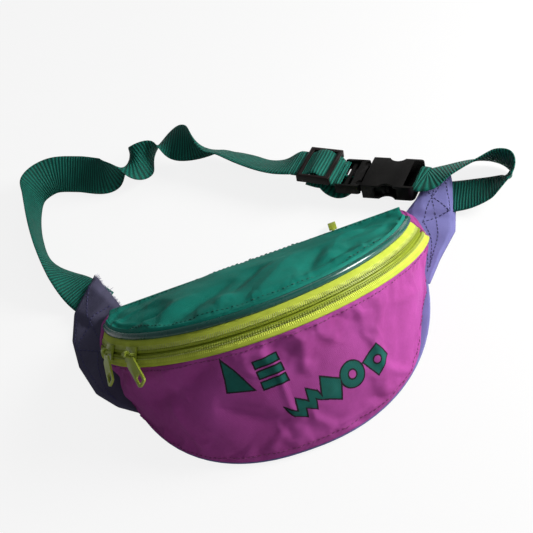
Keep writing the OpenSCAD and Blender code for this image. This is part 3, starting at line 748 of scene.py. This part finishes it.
# %% Rows of stitches
def walk(path, pitch, start=0.0):
    """Points and directions every pitch millimetres along a path."""
    path = np.asarray(path, float)
    steps = np.linalg.norm(np.diff(path, axis=0), axis=1)
    reach = np.concatenate([[0], np.cumsum(steps)])
    spots = np.arange(start, reach[-1], pitch)
    points = np.stack([np.interp(spots, reach, path[:, k]) for k in range(3)], 1)
    near, far = np.maximum(spots - 0.5, 0), np.minimum(spots + 0.5, reach[-1])
    ahead = np.stack([np.interp(far, reach, path[:, k]) for k in range(3)], 1)
    behind = np.stack([np.interp(near, reach, path[:, k]) for k in range(3)], 1)
    return points, unit(ahead - behind)

def stitch_row(name, paths, up, finish, body, slot, pitch=3.0, size=(2.1, 0.5, 0.45)):
    bars = []
    for path in paths:
        for spot, along in zip(*walk(path, pitch, pitch / 2)):
            across = unit(np.cross(np.array(up, float), along))
            bars.append(small_bar(spot, along, across, np.cross(along, across), size))
    piece = bars_piece(name, bars, finish)
    settle_down(piece, body, slot)

def lifted(grid, normal, row, high):
    return grid[row] + normal[row] * high

for name, row, high in (("front_topstitch", 2, 0.12), ("front_bottom_stitch", 45, 0.1)):
    stitch_row(name, [lifted(FRONT_GRID, FRONT_NORMAL, row, high)[4:-4]], (0, -0.6, 0.8),
               magenta_thread, "pouch", "magenta_twill")
for name, side, columns in (("left", -1, slice(4, 67)), ("right", 1, slice(66, 129))):
    paths = [LID_GRID[2, columns] + np.array([0, 0.1, 0.2]), LID_GRID[31, columns] + np.array([0, 0.1, 0.2])]
    bars = []
    for path in paths:
        for spot, along in zip(*walk(path, 3.0)):
            across = unit(np.cross(np.array([0, 0.5, 0.86]), along))
            bars.append(small_bar(spot, along, across, np.cross(along, across), (2.0, 0.5, 0.45)))
    row = bars_piece("lid_stitches_" + name, bars, green_thread)
    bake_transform(row, "pouch", "lid", start=(side * 0.085, 0.03, 0.02), end=(side * 0.058, 0.03, 0.02))
    settle_down(row, "lid", "green_twill")
print("seams stitched")

# %% [markdown]
# ## Gathered end tabs
# At each end of the zip a scrap of magenta cloth is gathered over the tape. It is a short sleeve whose
# outline narrows from the band to the corner, with pleats along it.

# %% End tabs
def end_tab(name, side):
    along, across, out = band_axes(side * 79.0)
    start = band_spot(-0.4, 1.4, np.array(side * 78.6))
    finish_at = np.array([side * 95.8, 62.4, 7.2])
    rows, cols = 25, 48
    grid = np.zeros((rows, cols, 3))
    for i, t in enumerate(np.linspace(0, 1, rows)):
        centre = start * (1 - t) + finish_at * t + np.array([0, 0, 2.2]) * math.sin(math.pi * t)
        wide = across * (8.6 * (1 - t) + 4.4 * t)
        deep = out * (2.3 + 1.3 * math.sin(math.pi * min(1, t * 1.2)))
        for j in range(cols):
            angle = j * math.tau / cols
            broad = math.sin(angle * 7 + 2.2 * t + side) * math.sin(math.pi * min(1, t + 0.15))
            pleat = 1 + 0.11 * broad + 0.05 * math.sin(angle * 13 - 3 * t)
            grid[i, j] = (centre + wide * math.cos(angle) * (pleat * 0.5 + 0.5)
                          + deep * math.sin(angle) * pleat)
    grid[..., 2] = np.maximum(grid[..., 2], 1.8)
    tab = grid_piece(name, grid, tab_cloth, ring=True, caps=True)
    outward(tab)
    modify(tab, "SUBSURF", levels=1, render_levels=1)
    settle_down(tab, "pouch", "tab_cloth", name.replace("gathered", "end"))

for name, side in (("gathered_tab_left", -1), ("gathered_tab_right", 1)):
    end_tab(name, side)
print("end tabs gathered")

# %% [markdown]
# ## Back of the pouch
# The back panel is periwinkle cloth over thin padding. The strip behind the ridge is the lid's green
# cloth, and it holds the rear pocket's own short zip.

# %% Back panel
outline = np.concatenate([back_edge(np.arange(-90, 90.1, 4.5))[:, :2],
                          [[98, 58], [93, 64], [-93, 64], [-98, 58]]])
def resampled(outline, count):
    ring = np.vstack([outline, outline[:1]])
    reach = np.concatenate([[0], np.cumsum(np.linalg.norm(np.diff(ring, axis=0), axis=1))])
    spots = np.linspace(0, reach[-1], count, endpoint=False)
    return np.stack([np.interp(spots, reach, ring[:, k]) for k in range(2)], 1)

rim_line = resampled(outline, 160)
centre = np.array([0, 12.0])
def plate_rings(shares, heights, bumpy=0.0):
    rings = []
    for share, high in zip(shares, heights):
        flat = centre + (rim_line - centre) * share
        rise = high + bumpy * ripple(flat[:, 0], flat[:, 1], 21, 26) * (0.1 < share < 0.97)
        rings.append(np.column_stack([flat, rise]))
    return np.array(rings)

shares = [0.02, 0.2, 0.4, 0.6, 0.8, 0.9, 0.96, 0.99, 1.0, 1.0, 0.99, 0.96, 0.9, 0.8, 0.6, 0.4, 0.2, 0.02]
heights = [0.25] * 5 + [0.2, 0.05, 0.15, 0.5, 1.1, 1.5, 1.6, 1.5] + [1.55] * 5
grid = plate_rings(shares, heights, 0.12)
grid[..., 2] = np.maximum(grid[..., 2], 0.0)
back_cloth = grid_piece("back_cloth", grid, wing_cloth, grid[..., :2].copy(), ring=True, caps=True)
outward(back_cloth)
settle_down(back_cloth, "pouch", "wing_cloth", "back_panel")
edge_row = np.column_stack([centre + (rim_line - centre) * 0.965, np.full(len(rim_line), 0.12)])
stitch_row("back_seam_stitches", [np.vstack([edge_row, edge_row[:1]])], (0, 0, -1),
           violet_thread, "pouch", "wing_cloth")
inner = plate_rings([0.9, 0.7, 0.45, 0.2, 0.02], [3.4, 3.5, 3.5, 3.5, 3.5], 0.35)
pocket_cloth = grid_piece("rear_pocket_cloth", inner, lining, inner[..., :2].copy(), ring=True)
outward(pocket_cloth)
modify(pocket_cloth, "SOLIDIFY", thickness=0.5 * MM, offset=0)
settle_down(pocket_cloth, "pouch", "lining", "rear_pocket_lining")
print("back panel and pocket made")

# %% Strip behind the ridge and the rear zip
def strip(name, z0, z1, finish, seed, y=64.0, reach=96, thick=0.9, puff=0.5, rows=9):
    x = np.linspace(-reach, reach, 97)[None, :] + np.zeros((rows, 1))
    z = np.linspace(z0, z1, rows)[:, None] + np.zeros((1, 97))
    held = np.sin(np.pi * np.linspace(0, 1, rows))[:, None]
    out = y + held * (puff + ripple(x, z * 2, seed, 26) * 0.5)
    grid = np.stack([x, out, z], 2)
    piece = grid_piece(name, grid, finish)
    outward(piece)
    modify(piece, "SOLIDIFY", thickness=thick * MM, offset=0)
    return piece

upper = strip("rear_strip_upper", 7.7, 12.2, green_twill, 31)
settle_down(upper, "pouch", "green_twill", "rear_wall")
under = strip("rear_strip_lower", 1.6, 4.5, green_twill, 32, rows=7)
settle_down(under, "pouch", "green_twill")
for name, z0, z1 in (("rear_tape_upper", 6.9, 8.9), ("rear_tape_lower", 3.3, 5.3)):
    tape = strip(name, z0, z1, lime_tape, 33, y=64.3, reach=70, thick=0.7, puff=0.15, rows=5)
    settle_down(tape, "pouch", "lime_tape", *(("rear_zip",) if "upper" in name else ()))
east, north, up = np.eye(3)
bars = [small_bar(np.array([x, 64.4, z]), east, up, north, (0.95, 1.1, 1.6))
        for z in (5.55, 6.65) for x in np.arange(-66, 66, COIL_PITCH)]
rear_coil = bars_piece("rear_zip_coil", bars, lime_coil)
settle_down(rear_coil, "pouch", "lime_coil")

# %% [markdown]
# ## Hard pieces
# The sliders, pulls, buckle and adjuster are already the right shape in the frame. Each is copied,
# its loose triangles are merged, and its edges get a small bevel, as moulded and cast pieces have.

# %% Bevelled copies
def rounded_copy(node, finish, slot, body, width=0.3, segments=2, angle=32):
    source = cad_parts[node]
    piece = bpy.data.objects.new(node + "_detailed", source.data.copy())
    scene.collection.objects.link(piece)
    only(piece)
    bpy.ops.object.mode_set(mode="EDIT")
    bpy.ops.mesh.select_all(action="SELECT")
    bpy.ops.mesh.remove_doubles(threshold=0.00001)
    bpy.ops.mesh.dissolve_limited(angle_limit=math.radians(1.5))
    bpy.ops.mesh.normals_make_consistent(inside=False)
    bpy.ops.object.mode_set(mode="OBJECT")
    modify(piece, "BEVEL", width=width * MM, segments=segments, limit_method="ANGLE",
           angle_limit=math.radians(angle), use_clamp_overlap=True, harden_normals=False)
    only(piece)
    bpy.ops.object.shade_smooth_by_angle(angle=math.radians(40))
    piece.data.materials.clear()
    piece.data.materials.append(finish.material)
    piece.select_set(False)
    settle_down(piece, body, slot, node)

for node in ("slider_left", "slider_right", "slider_rear", "pull_left", "pull_right", "pull_rear"):
    rounded_copy(node, lime_paint, "lime_paint", node, 0.28)
for node, body in (("buckle_socket", "pouch"), ("buckle_plug", "plug"),
                   ("prong_left", "prong_left"), ("prong_right", "prong_right")):
    rounded_copy(node, black_plastic, "black_plastic", body, 0.5)
rounded_copy("tri_glide", brown_plastic, "black_plastic", "adjuster", 0.45, 3)
print("hard pieces bevelled")

# %% [markdown]
# ## Belt
# The webbing is 25 mm wide and 1.4 mm thick. It is swept along the frame's own route, with a turn at
# each point that says how far the strap leans from lying flat.

# %% Buckle place and belt routes
BUCKLE_TURN, BUCKLE_ROLL = math.radians(-31), math.radians(-12)
def buckle_spot(x, y, z, turn=0.0):
    side = y * math.cos(BUCKLE_ROLL) - z * math.sin(BUCKLE_ROLL)
    rise = y * math.sin(BUCKLE_ROLL) + z * math.cos(BUCKLE_ROLL)
    return [84.6 + x * math.cos(BUCKLE_TURN) - side * math.sin(BUCKLE_TURN),
            98.5 + x * math.sin(BUCKLE_TURN) + side * math.cos(BUCKLE_TURN), 5 + rise, turn]

def glide_spot(x, lift=0.0, turn=528.0):
    c, s = math.cos(math.radians(4)), math.sin(math.radians(4))
    return buckle_spot(-32 + x * c + lift * s, 0, 12.2 - x * s + lift * c, turn)

FLAT = 2.3
BELT_ROUTE = [
    [-104, 80, FLAT, 0], [-113, 93, FLAT + 1.8, 4], [-124, 110, 10, 46], [-133, 130, 13.5, 80],
    [-137, 155, 13.5, 88], [-137, 180, 13.5, 82], [-134, 196, 13, 66], [-120, 202, 12.5, 46],
    [-102, 196, 11, 38], [-84, 184, 12, 58], [-70, 183, 13.5, 132], [-58, 183, 13.5, 222],
    [-43, 192, 13.5, 312], [-26, 187, 13.5, 402], [-9, 171, 13.5, 486], [2, 161.5, 13.5, 496],
    [12, 152, 12.5, 503], [22, 142, 12, 505], [33, 132.5, 14.5, 514], glide_spot(-16.4), glide_spot(-8)]
SHORT_ROUTE = [
    buckle_spot(29.5, 0, 6.2, -12), buckle_spot(34, 0, 6.2, -12), buckle_spot(40, 0, 6.5, -15),
    [131, 80, 12, -30], [148, 79.5, 13, -44], [162.5, 75, 13.6, -68], [169, 66, 13.4, -94],
    [164, 59, 12, -130], [153, 58.5, 7.6, -160], [141.5, 61.5, 4.6, -175],
    [131, 65.5, FLAT + 0.6, -180], [121, 69, FLAT + 0.3, -180], [113, 72, FLAT + 0.2, -180]]

# %% Webbing along a route
BELT_WIDTH, BELT_THICK = 25.0, 1.4
def smooth_route(route, per):
    p = np.array(route, float)
    spots = []
    for i in range(len(p) - 1):
        a, b, c, d = p[max(i - 1, 0)], p[i], p[i + 1], p[min(i + 2, len(p) - 1)]
        for t in np.arange(per) / per:
            spots.append(0.5 * (2 * b + (c - a) * t + (2 * a - 5 * b + 4 * c - d) * t * t
                                + (3 * b - a - 3 * c + d) * t ** 3))
    return np.array(spots + [p[-1]])

def strap(name, spots, wide=BELT_WIDTH, thick=BELT_THICK, flute=0.12):
    """Webbing round a centreline of [x, y, z, turn] spots, with soft edges."""
    centre = spots[:, :3]
    ahead = np.vstack([centre[1:], centre[-1:]])
    behind = np.vstack([centre[:1], centre[:-1]])
    along = unit(ahead - behind)
    flat_side = unit(np.cross(np.array([0, 0, 1.0]), along))
    turn = np.radians(spots[:, 3:4])
    side = flat_side * np.cos(turn) + np.cross(along, flat_side) * np.sin(turn)
    out = np.cross(along, side)
    reach = np.concatenate([[0], np.cumsum(np.linalg.norm(np.diff(centre, axis=0), axis=1))])
    across = np.concatenate([np.linspace(-1, 1, 11), np.linspace(1, -1, 11)])
    face = np.concatenate([np.ones(11), -np.ones(11)])
    body = 1 - 0.55 * np.abs(across) ** 8
    grid = np.zeros((len(spots), 22, 3))
    cut = np.zeros((len(spots), 22, 2))
    for j in range(22):
        lift = face[j] * body[j] * thick / 2 + flute * np.sin(reach / 9.0 + across[j] * 2)
        grid[:, j] = centre + side * (across[j] * wide / 2) + out * np.asarray(lift)[:, None]
        cut[:, j, 0] = across[j] * wide / 2
        cut[:, j, 1] = reach
    piece = grid_piece(name, grid, webbing, cut, ring=True, caps=True)
    outward(piece)
    return piece, float(reach[-1])

main = smooth_route(BELT_ROUTE, 10)
long_belt, long_reach = strap("belt_webbing_long", main[:141])
settle_down(long_belt, "pouch", "webbing", "belt_long")
flex_belt, flex_reach = strap("belt_webbing_flex", main[140:191])
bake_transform(flex_belt, "pouch", "plug", start=(-0.009, 0.171, 0.0135),
         end=[v * MM for v in glide_spot(-17)[:3]])
settle_down(flex_belt, "plug", "webbing", "belt_flex")
hump = [glide_spot(-16), glide_spot(-12, -0.1), glide_spot(-8.5, -0.2), glide_spot(-5, 1.4),
        glide_spot(-2.5, 2.9), glide_spot(0, 3.4), glide_spot(2.5, 2.9), glide_spot(5, 1.4),
        glide_spot(8, -0.1), buckle_spot(-19.6, 0, 7.0, 528), buckle_spot(-17.6, 0, 7.1, 528),
        buckle_spot(-15.6, 0, 6.2, 528)]
tail_belt, tail_reach = strap("belt_webbing_tail", smooth_route(hump, 5), flute=0.04)
settle_down(tail_belt, "plug", "webbing", "belt_tail")
wrap = [buckle_spot(-15.6, 0, 5.6, 528), buckle_spot(-15.9, 0, 3.2, 528), buckle_spot(-17.2, 0, 1.0, 528),
        buckle_spot(-19.6, 0, 0.4, 528), buckle_spot(-22.5, 0, 1.9, 528), glide_spot(6, -4.4),
        glide_spot(1, -4.3), glide_spot(-6, -2.9)]
under_belt = strap("belt_webbing_under", smooth_route(wrap, 5), wide=24.6, flute=0.0)[0]
settle_down(under_belt, "plug", "webbing")
short_belt, short_reach = strap("belt_webbing_short", smooth_route(SHORT_ROUTE, 10))
settle_down(short_belt, "pouch", "webbing", "belt_short")
print("webbing lengths", round(long_reach), round(flex_reach), round(tail_reach), round(short_reach), "mm")

# %% [markdown]
# ## Wings
# Each wing is two layers of periwinkle cloth sewn round the end of the belt. It is laid out between an
# inner edge along the pouch and an outer edge, puffs up over the webbing, and its top edge is raw.
# The left wing's cloth is a darker, greyer copy of the right one's: painted shade for a wing that lies in
# shadow.

# %% Wing cloth
def polyline(points, count):
    p = np.array(points, float)
    reach = np.concatenate([[0], np.cumsum(np.linalg.norm(np.diff(p, axis=0), axis=1))])
    spots = np.linspace(0, reach[-1], count)
    return np.stack([np.interp(spots, reach, p[:, k]) for k in range(p.shape[1])], 1)

def wing_cloth_piece(name, finish, inner, outer, puff, seed, node):
    """A closed two-layer wing between two edges of [x, y, z] points; gives its top layer."""
    rows, cols = 61, 25
    a, b = polyline(inner, rows), polyline(outer, rows)
    share = np.linspace(0, 1, cols)[None, :, None]
    low = a[:, None] * (1 - share) + b[:, None] * share
    w = np.linspace(0, 1, rows)[:, None] + np.zeros((1, cols))
    s = share[..., 0] + np.zeros((rows, 1))
    crease = (ripple(low[..., 0], low[..., 1], seed, 22) * 0.7
              + ripple(low[..., 0], low[..., 1], seed + 1, 9) * 0.16)
    rim = np.minimum(1, np.minimum(s, 1 - s) / 0.12) * np.minimum(1, np.minimum(w, 1 - w) / 0.06)
    high = low.copy()
    high[..., 2] += 1.3 + (puff(low[..., 0], low[..., 1]) + 0.6 + crease) * np.clip(rim, 0, 1)
    drift = (b[-1] - a[-1]) / np.linalg.norm(b[-1] - a[-1])
    ahead = unit(np.array([-drift[1], drift[0], 0]))
    tear = np.clip((w - 0.93) / 0.07, 0, 1) * (ripple(s * 40, s * 9, seed + 6, 4) * 1.6)
    low, high = low + ahead * tear[..., None], high + ahead * tear[..., None]
    low[..., 2] = np.maximum(low[..., 2], 0.0)
    ring = np.concatenate([low, high[:, ::-1]], 1)
    cut = np.stack([ring[..., 0], ring[..., 1]], 2)
    piece = grid_piece(name, ring, finish, cut, ring=True, caps=True)
    outward(piece)
    settle_down(piece, "pouch", "wing_cloth", node)
    return high

LEFT_IN = [(-87, -6, 0.1), (-90, 2, 0.3), (-95.5, 20, 1.2), (-97.5, 40, 3.0), (-97, 56, 4.8),
           (-91.5, 66, 5.5), (-90, 70, 4.5)]
LEFT_OUT = [(-91, -11, 0), (-104, -1, 0), (-116, 14, 0), (-124, 38, 0), (-126, 60, 0),
            (-122, 82, 0.3), (-104, 106, 2.6)]
RIGHT_IN = [(88, 8, 0.1), (93, 18, 0.5), (97.5, 36, 2.5), (98.5, 54, 4.5), (98.5, 63, 5.5),
            (105, 68.5, 5.5), (113, 75, 5.2)]
RIGHT_OUT = [(97, 9, 0), (108, 24, 0), (123, 41, 0), (130, 62, 0.5), (134.5, 86, 3.2)]

def over_belt_left(x, y):
    along = ((x + 104) * -0.57 + (y - 80) * 0.82)
    off = ((x + 104) * 0.82 + (y - 80) * 0.57)
    return 3.1 * np.clip((along + 14) / 8, 0, 1) * np.clip((16.5 - abs(off)) / 4, 0, 1) + 0.7

def over_belt_right(x, y):
    along = ((x - 113) * 0.95 + (y - 71) * -0.3)
    off = ((x - 113) * 0.3 + (y - 71) * 0.95)
    return 3.1 * np.clip((along + 9) / 8, 0, 1) * np.clip((16.5 - abs(off)) / 4, 0, 1) + 0.7

# The left wing takes the darker, greyer copy of the wing cloth, which is painted shade.
left_high = wing_cloth_piece("wing_cloth_left", painted_shade_wing_cloth, LEFT_IN, LEFT_OUT,
                             over_belt_left, 41, "wing_left")
right_high = wing_cloth_piece("wing_cloth_right", wing_cloth, RIGHT_IN, RIGHT_OUT,
                              over_belt_right, 51, "wing_right")
print("wings puffed to", [round(float(high[..., 2].max()), 1) for high in (left_high, right_high)], "mm")

# %% Wing stitches and raw edges
def on_wing(high, w, s, lift=0.05):
    """A point on a wing's top layer, w along the pouch and s outward, both from 0 to 1."""
    rows, cols = high.shape[:2]
    i, j = min(max(w, 0), 1) * (rows - 1), min(max(s, 0), 1) * (cols - 1)
    i0, j0 = min(int(i), rows - 2), min(int(j), cols - 2)
    fi, fj = i - i0, j - j0
    spot = (high[i0, j0] * (1 - fi) * (1 - fj) + high[i0 + 1, j0] * fi * (1 - fj)
            + high[i0, j0 + 1] * (1 - fi) * fj + high[i0 + 1, j0 + 1] * fi * fj)
    return spot + np.array([0, 0, lift])

def wing_line(high, start, end, count=24):
    return [on_wing(high, start[0] + (end[0] - start[0]) * k / count,
                    start[1] + (end[1] - start[1]) * k / count) for k in range(count + 1)]

box_left = [((0.55, 0.18), (0.55, 0.93)), ((0.55, 0.93), (0.93, 0.90)), ((0.93, 0.2), (0.55, 0.93)),
            ((0.55, 0.18), (0.93, 0.88)), ((0.55, 0.45), (0.16, 0.80)), ((0.55, 0.88), (0.16, 0.80))]
box_right = [((0.60, 0.25), (0.62, 0.90)), ((0.62, 0.90), (0.95, 0.85)), ((0.92, 0.30), (0.62, 0.88)),
             ((0.60, 0.28), (0.95, 0.82)), ((0.60, 0.30), (0.14, 0.62)),
             ((0.90, 0.55), (0.14, 0.62)), ((0.52, 0.12), (0.12, 0.55))]
for name, high, lines in (("left", left_high, box_left), ("right", right_high, box_right)):
    stitch_row("wing_stitches_" + name, [wing_line(high, *line) for line in lines], (0, 0, 1),
               violet_thread, "pouch", "wing_cloth", 2.8, (2.2, 0.7, 0.45))

def frayed(name, high, rows_range, seed, long_at):
    """Loose threads along the raw top edge of a wing."""
    deal = np.random.default_rng(seed)
    bars = []
    for s in np.linspace(0.02, 0.98, rows_range):
        root = on_wing(high, 1.0, s, -deal.uniform(0, 1.4))
        inward = on_wing(high, 0.93, s) - root
        away = unit(-inward + np.array([deal.normal(0, 2.0), deal.normal(0, 2.0), deal.uniform(0.0, 2.4)]))
        long = deal.uniform(0.8, 2.6) + (3.4 if abs(s - long_at) < 0.1 and deal.uniform() < 0.5 else 0)
        across = unit(np.cross(away, np.array([0.2, 0.3, 1.0])))
        bars.append(small_bar(root + away * long / 2, away, across, np.cross(away, across), (long, 0.2, 0.2)))
    piece = bars_piece(name, bars, fray_thread)
    settle_down(piece, "pouch", "wing_cloth")

frayed("wing_fray_left", left_high, 90, 61, 0.5)
frayed("wing_fray_right", right_high, 110, 62, 0.85)
print("wing edges frayed")
